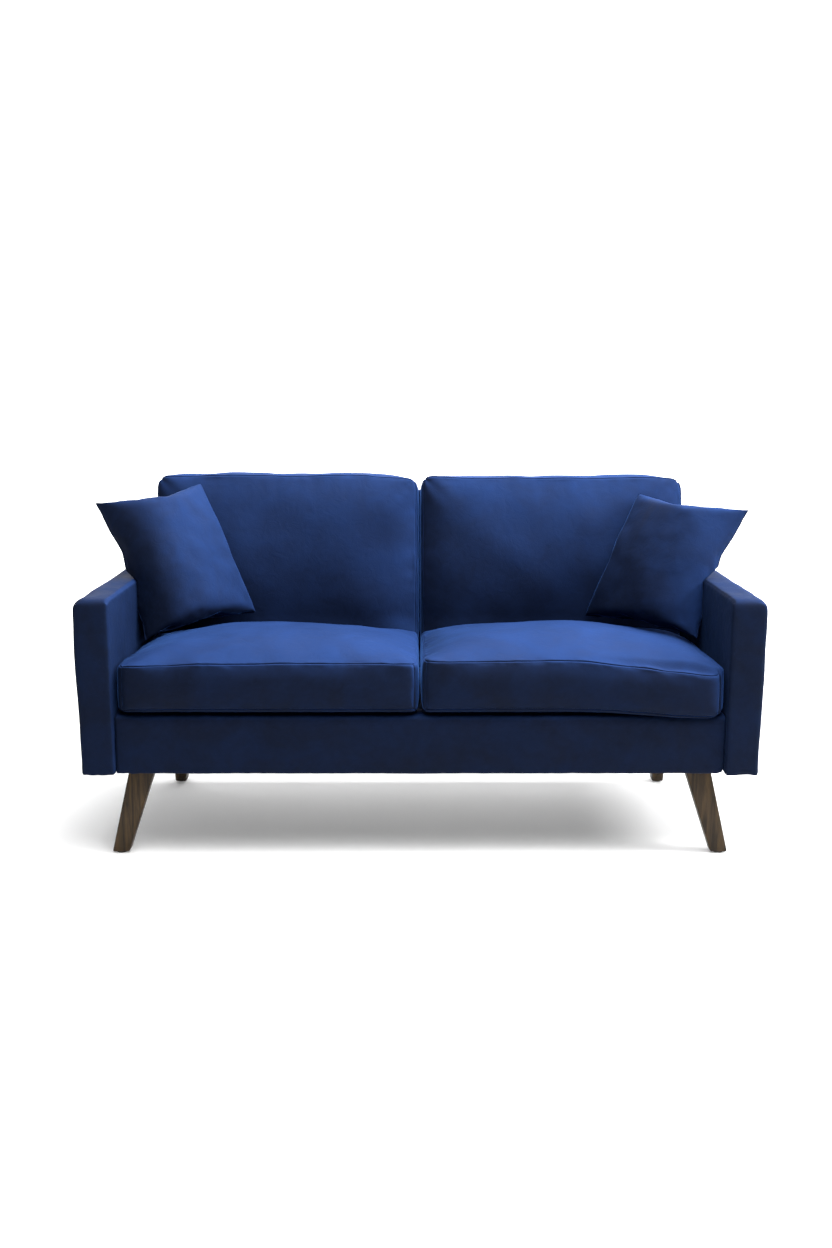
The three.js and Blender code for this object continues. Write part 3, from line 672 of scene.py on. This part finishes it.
def makeBackCushion(side):
    sign, style, own = sides[side], backStyle, backStyle[side]
    recline = math.radians(style["recline"])
    low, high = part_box(f"back_cushion_{side}_cover")
    width, thickness, cadEdge = high.x - low.x, style["thickness"], style["cadEdge"]
    sine, cosine = math.sin(recline), math.cos(recline)
    standY = low.y - cadEdge * (cosine + sine - 1)
    standZ = low.z + (thickness - cadEdge) * sine + cadEdge * (1 - cosine)
    height = (high.z - standZ - cadEdge + cadEdge * sine) / cosine + cadEdge
    start, end = (0.0, 0.0, 0.0), (width, thickness, height)
    corner, edge = style["corner"], style["edge"]
    cushion = cutBlock(f"backCushion_{side}", start, end, (corner, edge, corner), style["spacing"])
    points = readPoints(cushion)
    seam = seamDistance(points, start, end, 1)
    setValues(cushion, "seam", seam)
    points = roundAll(points, start, end, edge)
    for signs in ((-1, -1), (-1, 1), (1, -1), (1, 1)):
        points = roundEdge(points, start, end, (0, 2), signs, corner)
    across = np.clip(points[:, 0] / width * 2 - 1, -1, 1)
    up = np.clip(points[:, 2] / height, 0, 1)
    belly = (1 - across ** 4) * (1 - (2 * up - 1) ** 4)
    points[:, 1] -= style["belly"] * belly * (1 - points[:, 1] / thickness)
    tuck = style["tuck"] * np.clip((0.6 - up) / 0.35, 0, 1) ** 2  # the front falls back near the seat
    points[:, 1] += tuck * (1 - points[:, 1] / thickness)
    writePoints(cushion, points)
    hold = np.where(points[:, 1] > thickness - 0.003, 1.0, 0.0)
    hold = hold + style["seamHold"] * nearZero(seam, style["seamReach"])
    hold = hold + np.where(points[:, 2] < 0.003, style["footHold"], 0.0)
    swell(cushion, hold, style["pressure"], style["cap"])
    refine(cushion, 2)
    sewSeams(cushion, *style["seam"], own["seed"])
    points = readPoints(cushion)
    across = np.clip(points[:, 0] / width * 2 - 1, -1, 1)
    up = np.clip(points[:, 2] / height, 0, 1)
    points[:, 2] += up ** 2 * (own["rise"] - own["sag"] * np.abs(across) ** 3)
    rise, size = style["topWave"]
    points[:, 2] += up ** 6 * rise * unevenness(points, size, own["seed"])
    rise, size = style["frontWave"]
    points[:, 1] += rise * unevenness(points, size, own["seed"] + 2) * (1 - points[:, 1] / thickness)
    outer = smoothStep(points[:, 2], 0.3, 0.36) * style["outerBulge"]  # free of the arm above its top
    inner = smoothStep(points[:, 2], 0.0, 0.1) * style["gapBulge"]
    least, most = (outer, inner) if sign < 0 else (inner, outer)
    points[:, 0] = softLimit(points[:, 0], width - style["clearance"] + most)
    points[:, 0] = -softLimit(-points[:, 0], least - style["clearance"])
    points[:, 1] = np.minimum(points[:, 1], thickness)
    points[:, 2] = np.maximum(points[:, 2], 0)
    writePoints(cushion, points)
    stand = Matrix.Translation((low.x, standY, standZ))
    moveMesh(cushion, stand @ Matrix.Rotation(-recline, 4, "X"))
    nodes = [f"back_cushion_{side}_{part}" for part in ("cover", "fill")]
    dress(cushion, backVelvet, f"back_cushion_{side}", "cushion_velvet", *nodes)
    return cushion


backCushions = {side: makeBackCushion(side) for side in sides}
print("back cushions made")

# throw pillows
pillowStyle = {
    "cut": 0.385, "seamWidth": 0.005, "edge": 0.012, "spacing": 0.011, "loft": 0.034,
    "pressure": 1.0, "cap": 0.06, "frames": 24, "thickness": 0.112, "lumps": (0.003, 0.09),
    "restFlat": 0.9, "edgeOut": 0.135, "bend": 0.085, "bendFrom": 0.2, "bendWay": (0.225, 0.965, -0.14),
    "seam": (0.0012, 0.0022, 0.0012, 0.03),  # groove depth and width, gather height and pitch
    "offBack": 0.002, "offArm": 0.002, "overArm": 1.3, "fill": 0.6,
    # corners: outer top, inner top, inner bottom, outer bottom, for a pillow on the right
    "left": {"corners": ((0.767, -0.125, 0.792), (0.566, 0.163, 0.811), (0.421, 0.085, 0.486),
                         (0.642, -0.201, 0.470)), "seed": 41},
    "right": {"corners": ((0.779, -0.125, 0.775), (0.566, 0.163, 0.785), (0.426, 0.085, 0.478),
                          (0.649, -0.201, 0.473)), "seed": 52},
}


def makePillow(side):
    style, own = pillowStyle, pillowStyle[side]
    half, thin = style["cut"] / 2, style["seamWidth"] / 2
    start, end = (-half, -thin, -half), (half, thin, half)
    edges = (style["edge"], 0, style["edge"])
    pillow = cutBlock(f"throwPillow_{side}", start, end, edges, style["spacing"])
    points = readPoints(pillow)
    seam = half - np.maximum(np.abs(points[:, 0]), np.abs(points[:, 2]))
    setValues(pillow, "seam", seam)
    u, v = points[:, 0] / half, points[:, 2] / half
    swellUp = np.sqrt(np.clip((1 - u ** 2) * (1 - v ** 2), 0, 1))
    points[:, 1] += np.sign(points[:, 1]) * style["loft"] * swellUp
    writePoints(pillow, points)
    swell(pillow, np.zeros(len(points)), style["pressure"], style["cap"], style["frames"])
    refine(pillow, 2)
    points = readPoints(pillow)
    seam = getValues(pillow, "seam")
    corners = []
    for a, b in ((1, 1), (-1, 1), (-1, -1), (1, -1)):
        corners.append(points[np.argmax(points[:, 0] * a + points[:, 2] * b)])
    reachX = np.mean([abs(c[0]) for c in corners])
    reachZ = np.mean([abs(c[2]) for c in corners])
    thickness = points[:, 1].max() - points[:, 1].min()
    # u is 1 at the outer edge, v is 1 at the top, and w is above 0 on the rear
    u, v = points[:, 0] / reachX, points[:, 2] / reachZ
    w = points[:, 1] * style["thickness"] / thickness
    height, size = style["lumps"]
    w = w + height * unevenness(points, size, own["seed"]) * np.sign(w) * smoothStep(seam, 0.0, 0.04)
    outerTop, innerTop, innerLow, outerLow = (np.array(c) for c in own["corners"])
    toOuter, toInner = ((1 + u) / 2)[:, None], ((1 - u) / 2)[:, None]
    toTop, toBottom = ((1 + v) / 2)[:, None], ((1 - v) / 2)[:, None]
    top = outerTop * toOuter + innerTop * toInner
    bottom = outerLow * toOuter + innerLow * toInner
    placed = top * toTop + bottom * toBottom
    facing = np.cross(outerTop - innerLow, outerLow - innerTop)
    facing = facing / np.linalg.norm(facing)
    facing = facing if facing[1] < 0 else -facing  # towards the front
    u = u * (1 + style["edgeOut"] * (1 - np.clip(v, -1, 1) ** 2) * smoothStep(u, 0.2, 0.9))
    flatter = w * (1 - style["restFlat"] * smoothStep(u, -0.6, 0.7))
    w = np.where(w > 0, flatter, w)  # the rear is flatter where it leans
    placed = placed - facing * w[:, None]
    bent = np.clip(u + style["bendFrom"], 0, None)[:, None] / (1 + style["bendFrom"])
    placed += np.array(style["bendWay"]) * style["bend"] * bent ** 2
    placed[:, 0] *= sides[side]
    writePoints(pillow, placed)
    recalculate(pillow)
    sewSeams(pillow, *style["seam"], own["seed"])
    nodes = [f"throw_pillow_{side}_{part}" for part in ("cover", "insert")]
    dress(pillow, pillowVelvet[side], f"throw_pillow_{side}", "pillow_velvet", *nodes)
    return pillow


def recalculate(piece):
    selectOnly(piece)
    bpy.ops.object.mode_set(mode="EDIT")
    bpy.ops.mesh.select_all(action="SELECT")
    bpy.ops.mesh.normals_make_consistent(inside=False)
    bpy.ops.mesh.select_all(action="DESELECT")
    bpy.ops.object.mode_set(mode="OBJECT")


def pressOff(piece, other, direction, gap=0.0015, slides=((0, 0, 0),)):
    # moves the points of piece that are inside other, at rest or as it slides, to just off its surface
    tree = BVHTree.FromObject(other, bpy.context.evaluated_depsgraph_get())
    points, reach = readPoints(piece), 0.25
    for index in range(len(points)):
        for slide in slides:
            start = Vector(points[index]) - Vector(slide) - direction * reach
            hit = tree.ray_cast(start, direction, reach + gap)
            if hit[0] is not None:
                points[index] = hit[0] + Vector(slide) - direction * gap
    writePoints(piece, points)


def settlePillow(side, pillow):
    style, sign = pillowStyle, sides[side]
    pressOff(pillow, seatCushions[side], Vector((0, 0, -1)))
    recline = math.radians(backStyle["recline"])
    intoBack = Vector((0, math.cos(recline), -math.sin(recline)))
    upBack = Vector((0, math.sin(recline), math.cos(recline)))
    lifted = [upBack * rise for rise in (0, 0.08, 0.16, 0.24, 0.32, 0.4)]
    pressOff(pillow, backCushions[side], intoBack, style["offBack"], lifted)
    points = readPoints(pillow)
    low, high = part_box(f"arm_cover_{side}")
    armFace = low.x if sign > 0 else -high.x  # inner face of the arm, from the middle of the sofa
    overArm = np.clip(points[:, 2] - high.z + 0.006, 0, None)
    room = armFace - style["offArm"] + style["overArm"] * overArm
    points[:, 0] -= sign * np.clip(points[:, 0] * sign - room, 0, None)
    writePoints(pillow, points)


pillows = {side: makePillow(side) for side in sides}
for side in sides:
    settlePillow(side, pillows[side])
print("throw pillows made")

# arms
armStyle = {
    "spacing": 0.02, "edges": (0.02, 0.024, 0.024), "bulge": 0.003, "flare": 0.0045, "recline": 12,
    "roundTop": {"outer": 0.022, "inner": 0.008, "front": 0.024, "rear": 0.018},
    "roundFront": {"outer": 0.014, "inner": 0.008}, "roundRear": {"outer": 0.012, "inner": 0.008},
    "roundFoot": 0.006, "seam": (0.0014, 0.003, 0.0008, 0.04), "lumps": (0.0018, 0.11), "innerPuff": 0.35,
    "footGathers": (0.0022, 0.025), "fill": 0.95, "seed": {"left": 61, "right": 67},
}


def shapeArm(side):
    sign, style = sides[side], armStyle
    low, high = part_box(f"arm_cover_{side}")
    start, end = tuple(low), tuple(high)
    arm = cutBlock(f"armCover_{side}", start, end, style["edges"], style["spacing"])
    points = readPoints(arm)
    ways = {"outer": sign, "inner": -sign}
    middle = (low.x + high.x) / 2
    innerX = low.x if sign > 0 else high.x
    setValues(arm, "seam", (high.z - points[:, 2]) + np.abs(points[:, 0] - innerX))
    for face, way in ways.items():
        points = roundEdge(points, start, end, (0, 2), (way, 1), style["roundTop"][face])
    for face, way in (("front", -1), ("rear", 1)):
        points = roundEdge(points, start, end, (1, 2), (way, 1), style["roundTop"][face])
    for rounds, along in (("roundFront", -1), ("roundRear", 1)):
        for face, way in ways.items():
            points = roundEdge(points, start, end, (0, 1), (way, along), style[rounds][face])
    for axis in (0, 1):
        for way in (-1, 1):
            points = roundEdge(points, start, end, (axis, 2), (way, -1), style["roundFoot"])
    rearAt = high.y - (high.z - points[:, 2]) * math.tan(math.radians(style["recline"]))
    points[:, 1] = low.y + (points[:, 1] - low.y) * (rearAt - low.y) / (high.y - low.y)
    writePoints(arm, points)
    refine(arm, 1)
    points, normals = readPoints(arm), readNormals(arm)
    seed = style["seed"][side]
    inset = np.minimum(points[:, 2] - low.z, high.z - points[:, 2])
    inset = np.minimum(inset, points[:, 1] - low.y)
    height, size = style["lumps"]
    puff = style["bulge"] * smoothStep(inset, 0.0, 0.06) + height * unevenness(points, size, seed)
    puff *= np.where((points[:, 0] - middle) * sign > 0, 1.0, style["innerPuff"])
    nearFoot = 1 - smoothStep(points[:, 2], low.z, low.z + 0.03)
    height, size = style["footGathers"]
    upright = points * np.array((1.0, 1.0, 0.2))  # gathers that run up and down
    puff += height * unevenness(upright, size, seed + 1) * nearFoot
    points = points + normals * puff[:, None]
    outside = np.clip((points[:, 0] - middle) * sign / (high.x - low.x) + 0.5, 0, 1)
    points[:, 0] += sign * style["flare"] * outside * smoothStep(points[:, 2], low.z, high.z - 0.06)
    writePoints(arm, points)
    sewSeams(arm, *style["seam"], seed + 2)
    dress(arm, bodyVelvet, "sofa_frame", "body_velvet", f"arm_cover_{side}")


for side in sides:
    shapeArm(side)
print("arms made")

# front panel
panelStyle = {
    "edges": (0.02, 0.019, 0.019), "spacing": 0.016, "topGap": 0.004,
    "roundTop": 0.019, "roundFoot": 0.008, "roundEnds": 0.006,
    "bulge": 0.003, "lumps": (0.0022, 0.13), "gathers": (0.003, 0.022), "fill": 0.95, "seed": 71,
}


def makeFrontPanel():
    style = panelStyle
    low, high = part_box("front_panel_cover")
    start, end = tuple(low), (high.x, high.y, high.z - style["topGap"])
    panel = cutBlock("frontPanel", start, end, style["edges"], style["spacing"])
    points = readPoints(panel)
    points = roundEdge(points, start, end, (1, 2), (-1, 1), style["roundTop"])
    points = roundEdge(points, start, end, (1, 2), (-1, -1), style["roundFoot"])
    for way in (-1, 1):
        points = roundEdge(points, start, end, (0, 1), (way, -1), style["roundEnds"])
    writePoints(panel, points)
    refine(panel, 1)
    points, normals = readPoints(panel), readNormals(panel)
    isFront = np.clip(-normals[:, 1], 0, 1)
    fromEnd = np.minimum(points[:, 0] - low.x, high.x - points[:, 0])
    puff = style["bulge"] * smoothStep(points[:, 2], low.z, low.z + 0.05)
    puff = puff * smoothStep(fromEnd, 0, 0.05) * isFront
    height, size = style["lumps"]
    puff += height * unevenness(points, size, style["seed"]) * isFront
    ends = 1 - smoothStep(fromEnd, 0.0, 0.07)
    nearFoot = 1 - smoothStep(points[:, 2], low.z, low.z + 0.04)
    height, size = style["gathers"]
    upright = points * np.array((1, 1, 0.3))
    puff += height * unevenness(upright, size, style["seed"] + 2) * (0.15 + ends) * nearFoot
    writePoints(panel, points + normals * puff[:, None])
    dress(panel, bodyVelvet, "sofa_frame", "body_velvet", "front_panel_cover")


makeFrontPanel()
print("front panel made")

# back cover
coverStyle = {
    "thickness": 0.0716, "recline": 12, "topOver": 0.002, "edges": (0.02, 0.016, 0.016), "spacing": 0.024,
    "roundTop": 0.014, "roundEnds": 0.014, "roundRear": 0.008, "roundFoot": 0.006,
    "seam": (0.0018, 0.003, 0.001, 0.05), "bulge": 0.0025, "lumps": (0.0015, 0.14),
    "gathers": (0.002, 0.025), "fill": 0.95, "seed": 81,
}


def makeBackCover():
    style = coverStyle
    low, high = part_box("back_cover")
    slope = math.tan(math.radians(style["recline"]))
    start, end = tuple(low), (high.x, low.y + style["thickness"], high.z + style["topOver"])
    cover = cutBlock("backCover", start, end, style["edges"], style["spacing"])
    points = readPoints(cover)
    seam = seamDistance(points, start, end, 1)
    seam = np.where(points[:, 2] < low.z + 0.001, 1.0, seam)  # no seam along the foot
    setValues(cover, "seam", seam)
    for way in (-1, 1):
        points = roundEdge(points, start, end, (1, 2), (way, 1), style["roundTop"])
        points = roundEdge(points, start, end, (0, 2), (way, 1), style["roundEnds"])
        points = roundEdge(points, start, end, (0, 1), (way, 1), style["roundRear"])
        points = roundEdge(points, start, end, (1, 2), (way, -1), style["roundFoot"])
    points[:, 1] += (points[:, 2] - low.z) * slope
    writePoints(cover, points)
    refine(cover, 1)
    sewSeams(cover, *style["seam"], style["seed"])
    points, normals = readPoints(cover), readNormals(cover)
    isRear = np.clip(normals[:, 1], 0, 1)
    fromEnd = np.minimum(points[:, 0] - low.x, high.x - points[:, 0])
    puff = style["bulge"] * smoothStep(fromEnd, 0, 0.08) * isRear
    height, size = style["lumps"]
    puff += height * unevenness(points, size, style["seed"] + 2) * isRear
    nearFoot = 1 - smoothStep(points[:, 2], low.z, low.z + 0.03)
    height, size = style["gathers"]
    puff += height * unevenness(points * np.array((1, 1, 0.3)), size, style["seed"] + 4) * nearFoot
    writePoints(cover, points + normals * puff[:, None])
    dress(cover, bodyVelvet, "sofa_frame", "body_velvet", "back_cover")


makeBackCover()
print("back cover made")

# seat deck and dust cover
deckStyle = {
    "thickness": 0.008, "edges": (0.02, 0.02, 0.002), "spacing": 0.03,
    "sag": 0.0015, "lumps": (0.001, 0.2), "sagFrom": 0.12, "seed": 91,
}
dustStyle = {
    "edges": (0.02, 0.02, 0), "spacing": 0.03,
    "sag": 0.0015, "lumps": (0.0015, 0.15), "sagFrom": 0.2, "seed": 95,
}


def sagBetween(points, low, high, style):
    # a stretched cloth drops a little between its edges
    fromEdge = np.minimum(np.minimum(points[:, 0] - low.x, high.x - points[:, 0]),
                          np.minimum(points[:, 1] - low.y, high.y - points[:, 1]))
    height, size = style["lumps"]
    drop = style["sag"] + height * unevenness(points, size, style["seed"])
    points[:, 2] -= smoothStep(fromEdge, 0.0, style["sagFrom"]) * drop
    return points


def makeDeck():
    style = deckStyle
    low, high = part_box("seat_deck")
    start, end = (low.x, low.y, high.z - style["thickness"]), tuple(high)
    deck = cutBlock("seatDeck", start, end, style["edges"], style["spacing"])
    points = readPoints(deck)
    points[:, 2] -= (points[:, 1] - low.y) * math.tan(math.radians(seatStyle["pitch"]))
    writePoints(deck, points)
    refine(deck, 1)
    writePoints(deck, sagBetween(readPoints(deck), low, high, style))
    dress(deck, deckCloth, "sofa_frame", "deck_cloth", "seat_deck")


def makeDustCover():
    style = dustStyle
    low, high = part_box("dust_cover")
    cover = cutBlock("dustCover", tuple(low), tuple(high), style["edges"], style["spacing"])
    writePoints(cover, sagBetween(readPoints(cover), low, high, style))
    selectOnly(cover)
    bpy.ops.object.shade_smooth()
    dress(cover, dustCloth, "sofa_frame", "dust_cloth", "dust_cover")


makeDeck()
makeDustCover()
print("deck and dust cover made")

# zips along the backs of the cushions
zipStyle = {
    "tape": 0.0011, "toothPitch": 0.003, "tooth": (0.0017, 0.0009, 0.0024),
    "slider": (0.009, 0.0026, 0.006),
    "pull": (0.013, 0.0009, 0.0035), "sliderFrom": 0.02, "endGap": 0.006, "tapeEdges": (0.004, 0, 0.0012),
    "spacing": 0.012, "lift": 0.0004,
}


def addShape(name, middle, size, ease, segments=2):
    bpy.ops.object.select_all(action="DESELECT")
    bpy.ops.mesh.primitive_cube_add(size=1, location=middle, scale=size)
    shape = bpy.context.object
    shape.name = name
    bpy.ops.object.transform_apply(location=True, rotation=True, scale=True)
    bpy.ops.object.mode_set(mode="EDIT")
    bpy.ops.mesh.select_all(action="SELECT")
    bpy.ops.mesh.bevel(offset=ease, segments=segments, affect="EDGES")
    bpy.ops.object.mode_set(mode="OBJECT")
    return shape


def joinShapes(shapes):
    bpy.ops.object.select_all(action="DESELECT")
    for shape in shapes:
        shape.select_set(True)
    bpy.context.view_layer.objects.active = shapes[0]
    bpy.ops.object.join()
    return shapes[0]


def makeZip(kind, side, cushion):
    style = zipStyle
    node = f"{kind}_cushion_{side}_zip"
    low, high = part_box(node)
    length = high.x - low.x
    z = (low.z + high.z) / 2
    start, end = (low.x, 0, low.z), (high.x, style["tape"], high.z)
    tape = cutBlock(f"zip_{kind}_{side}", start, end, style["tapeEdges"], style["spacing"])
    firstTooth = (low.x + style["endGap"], style["tape"], z)
    tooth = addShape("zipTooth", firstTooth, style["tooth"], 0.0003, 1)
    row = tooth.modifiers.new("Array", "ARRAY")
    row.count = int((length - 2 * style["endGap"]) / style["toothPitch"])
    row.use_relative_offset = False
    row.use_constant_offset = True
    row.constant_offset_displace = (style["toothPitch"], 0, 0)
    applyAll(tooth)
    x = low.x + style["sliderFrom"]
    slider = addShape("zipSlider", (x, style["tape"] + 0.0013, z), style["slider"], 0.0009)
    pull = addShape("zipPull", (x + 0.010, style["tape"] + 0.0024, z), style["pull"], 0.0003)
    for shape, material in ((tape, tapeCloth), (tooth, plastic), (slider, steel), (pull, steel)):
        shape.data.materials.clear()
        shape.data.materials.append(material)
    whole = joinShapes([tape, tooth, slider, pull])
    tree = BVHTree.FromObject(cushion, bpy.context.evaluated_depsgraph_get())
    points = readPoints(whole)
    for index, point in enumerate(points):
        hit = tree.ray_cast(Vector((point[0], high.y + 0.1, point[2])), Vector((0, -1, 0)), 0.3)
        surface = hit[0].y if hit[0] is not None else low.y
        points[index, 1] = surface + point[1] + style["lift"]
    writePoints(whole, points)
    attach(whole, f"{kind}_cushion_{side}")
    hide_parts(node)


for side in sides:
    makeZip("seat", side, seatCushions[side])
    makeZip("back", side, backCushions[side])
print("zips made")

# staples that hold the dust cover
stapleStyle = {
    "width": 0.011, "leg": 0.0012, "wire": 0.0007, "inset": 0.012, "pitch": 0.062,
    "fromSide": 0.1, "fromFront": 0.09, "alongSide": 6, "standOff": 0.0004,
}


def makeStaples():
    low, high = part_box("dust_cover")
    style = stapleStyle
    spots = []
    left, front = low.x + style["fromSide"], low.y + style["fromFront"]
    width, depth = high.x - low.x - 2 * style["fromSide"], high.y - low.y - 2 * style["fromFront"]
    count, sideCount = int(width / style["pitch"]), style["alongSide"]
    for y in (low.y + style["inset"], high.y - style["inset"]):
        spots += [(left + width * i / count, y, 0.0) for i in range(count + 1)]
    for x in (low.x + style["inset"], high.x - style["inset"]):
        spots += [(x, front + depth * i / sideCount, quarter) for i in range(sideCount + 1)]
    size = (style["width"], style["leg"], style["wire"])
    first = addShape("dustCoverStaples", (0, 0, 0), size, 0.0002, 1)
    copies = [first]
    for x, y, turn in spots:
        copy = bpy.data.objects.new("staple", first.data.copy())
        bpy.context.collection.objects.link(copy)
        place = Matrix.Translation((x, y, low.z - style["standOff"]))
        moveMesh(copy, place @ Matrix.Rotation(turn, 4, "Z"))
        copies.append(copy)
    corner = (low.x + style["inset"], low.y + style["inset"], low.z - style["standOff"])
    moveMesh(first, Matrix.Translation(corner) @ Matrix.Rotation(quarter / 2, 4, "Z"))
    dress(joinShapes(copies), steel, "sofa_frame", "steel")


makeStaples()
print("staples made")

# legs
legStyle = {
    "topWidth": 0.058, "topThickness": 0.045, "footWidth": 0.039, "footThickness": 0.030,
    "splay": 0.047, "ease": 0.004, "outer": 0.662, "frontY": -0.340, "rearY": 0.190,
}


def makeLeg(place, side):
    style, sign = legStyle, sides[side]
    low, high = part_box(f"leg_{place}_{side}")
    bpy.ops.object.select_all(action="DESELECT")
    size = (style["topWidth"], style["topThickness"], high.z - low.z)
    bpy.ops.mesh.primitive_cube_add(
        size=1, scale=size, location=(-size[0] / 2, size[1] / 2, (low.z + high.z) / 2))
    leg = bpy.context.object
    leg.name = f"leg_{place}_{side}_wood"
    bpy.ops.object.transform_apply(location=True, rotation=True, scale=True)
    bpy.ops.object.mode_set(mode="EDIT")
    bpy.ops.mesh.select_mode(type="VERT")
    bpy.ops.mesh.select_all(action="DESELECT")
    bpy.ops.object.mode_set(mode="OBJECT")
    for vertex in leg.data.vertices:
        vertex.select = vertex.co.z < 0.1
    bpy.ops.object.mode_set(mode="EDIT")
    bpy.ops.transform.resize(value=(style["footWidth"] / size[0], style["footThickness"] / size[1], 1))
    footMiddle = Vector((style["splay"] - style["footWidth"] / 2, style["footThickness"] / 2, 0))
    topMiddle = Vector((-size[0] / 2, size[1] / 2, 0))
    bpy.ops.transform.translate(value=footMiddle - topMiddle)
    bpy.ops.mesh.select_all(action="SELECT")
    bpy.ops.mesh.bevel(offset=style["ease"], segments=3, profile=0.5, affect="EDGES")
    bpy.ops.mesh.select_all(action="DESELECT")
    bpy.ops.object.mode_set(mode="OBJECT")
    where = Matrix.Translation((sign * style["outer"], style[f"{place}Y"], 0))
    if place == "rear":  # turned, so that it leans backwards
        where = where @ Matrix.Rotation(sign * quarter, 4, "Z")
    moveMesh(leg, where @ Matrix.Diagonal((sign, 1, 1, 1)))
    recalculate(leg)
    selectOnly(leg)
    bpy.ops.object.shade_smooth_by_angle(angle=math.radians(35))
    dress(leg, legWood, "sofa_frame", "walnut", f"leg_{place}_{side}")


for side in sides:
    for place in ("front", "rear"):
        makeLeg(place, side)
print("legs made")
